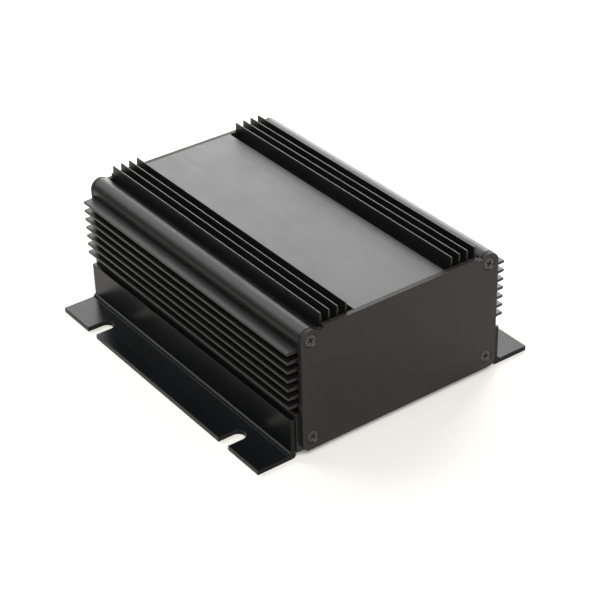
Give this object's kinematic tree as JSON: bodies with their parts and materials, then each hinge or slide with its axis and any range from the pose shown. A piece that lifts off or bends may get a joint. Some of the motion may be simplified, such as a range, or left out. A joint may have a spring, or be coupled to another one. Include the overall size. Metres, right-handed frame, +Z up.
{
  "type": "car audio amplifier",
  "caption": "Compact car audio amplifier in a finned black extruded case with flat end plates, slotted side brackets and a rear panel of terminals, fuses, input sockets and controls.",
  "frame": {"origin": "centre of the four bracket slots, on the surface that the feet stand on", "axes": "+X to the right seen from the blank front plate, +Y along the extrusion from the front plate to the rear connector plate, +Z up from the mounting surface"},
  "size_m": [0.1548, 0.1824, 0.0698],
  "materials": {
    "black_anodised_case": "satin black anodised",
    "grey_anodised_plate": "satin dark grey anodised",
    "black_screw": "black oxide",
    "black_bracket": "satin black",
    "zinc_screw": "zinc plated",
    "circuit_board": "green solder mask",
    "black_moulding": "fine matte moulding",
    "device_epoxy": "matte epoxy",
    "silicone_pad": "matte silicone",
    "clamp_metal": "plain steel",
    "ferrite": "dull ferrite",
    "enamelled_wire": "enamelled copper",
    "capacitor_sleeve": "shrink sleeve",
    "brass_contact": "bright brass",
    "nickel": "nickel plated",
    "fuse_blue": "translucent tinted plastic",
    "white_insert": "semi-gloss",
    "red_insert": "semi-gloss",
    "pot_metal": "plated metal",
    "knob_plastic": "fine matte moulding",
    "red_lens": "tinted clear lens"
  },
  "bodies": {
    "amplifier": {"case_body": "black_anodised_case", "front_plate": "grey_anodised_plate", "rear_plate": "grey_anodised_plate", "front_plate_screws": "black_screw", "rear_plate_screws": "black_screw", "left_bracket": "black_bracket", "right_bracket": "black_bracket", "bracket_screws": "zinc_screw", "main_board": "circuit_board", "preamp_board": "circuit_board", "board_link": "black_moulding", "output_transistors": "device_epoxy", "supply_transistors": "device_epoxy", "left_insulating_pad": "silicone_pad", "right_insulating_pad": "silicone_pad", "left_clamp_bar": "clamp_metal", "right_clamp_bar": "clamp_metal", "clamp_screws": "zinc_screw", "transformer_core": "ferrite", "transformer_winding": "enamelled_wire", "transformer_washer": "clamp_metal", "transformer_bolt": "zinc_screw", "reservoir_capacitors": "capacitor_sleeve", "choke_core": "ferrite", "choke_winding": "enamelled_wire", "control_chip": "device_epoxy", "preamp_chips": "device_epoxy", "signal_capacitors": "capacitor_sleeve", "power_terminal_block": "black_moulding", "power_terminal_contacts": "brass_contact", "power_terminal_screws": "nickel", "speaker_terminal_block": "black_moulding", "speaker_terminal_contacts": "brass_contact", "speaker_terminal_screws": "nickel", "fuse_holder": "black_moulding", "fuse_clips": "brass_contact", "rca_housing": "black_moulding", "rca_shells": "nickel", "rca_insert_white": "white_insert", "rca_insert_red": "red_insert", "rca_contacts": "brass_contact", "gain_pot": "pot_metal", "crossover_pot": "pot_metal", "filter_switch": "pot_metal", "power_led": "red_lens"},
    "gain_control": {"gain_shaft": "pot_metal", "gain_knob": "knob_plastic"},
    "crossover_control": {"crossover_shaft": "pot_metal", "crossover_knob": "knob_plastic"},
    "filter_selector": {"filter_slider": "knob_plastic"},
    "upper_fuse": {"upper_fuse_cap": "fuse_blue", "upper_fuse_blades": "nickel"},
    "lower_fuse": {"lower_fuse_cap": "fuse_blue", "lower_fuse_blades": "nickel"}
  },
  "joints": [
    {"name": "gain_turn", "type": "hinge", "parent": "amplifier", "child": "gain_control", "pos_m": [0.005, 0.09, 0.052], "axis": [0, -1, 0], "range_deg": [-150, 150]},
    {"name": "crossover_turn", "type": "hinge", "parent": "amplifier", "child": "crossover_control", "pos_m": [0.022, 0.09, 0.052], "axis": [0, -1, 0], "range_deg": [-150, 150]},
    {"name": "filter_select", "type": "slide", "parent": "amplifier", "child": "filter_selector", "axis": [1, 0, 0], "range_m": [-0.002, 0.002]},
    {"name": "upper_fuse_pull", "type": "slide", "parent": "amplifier", "child": "upper_fuse", "axis": [0, 1, 0], "range_m": [0, 0.02]},
    {"name": "lower_fuse_pull", "type": "slide", "parent": "amplifier", "child": "lower_fuse", "axis": [0, 1, 0], "range_m": [0, 0.02]}
  ]
}
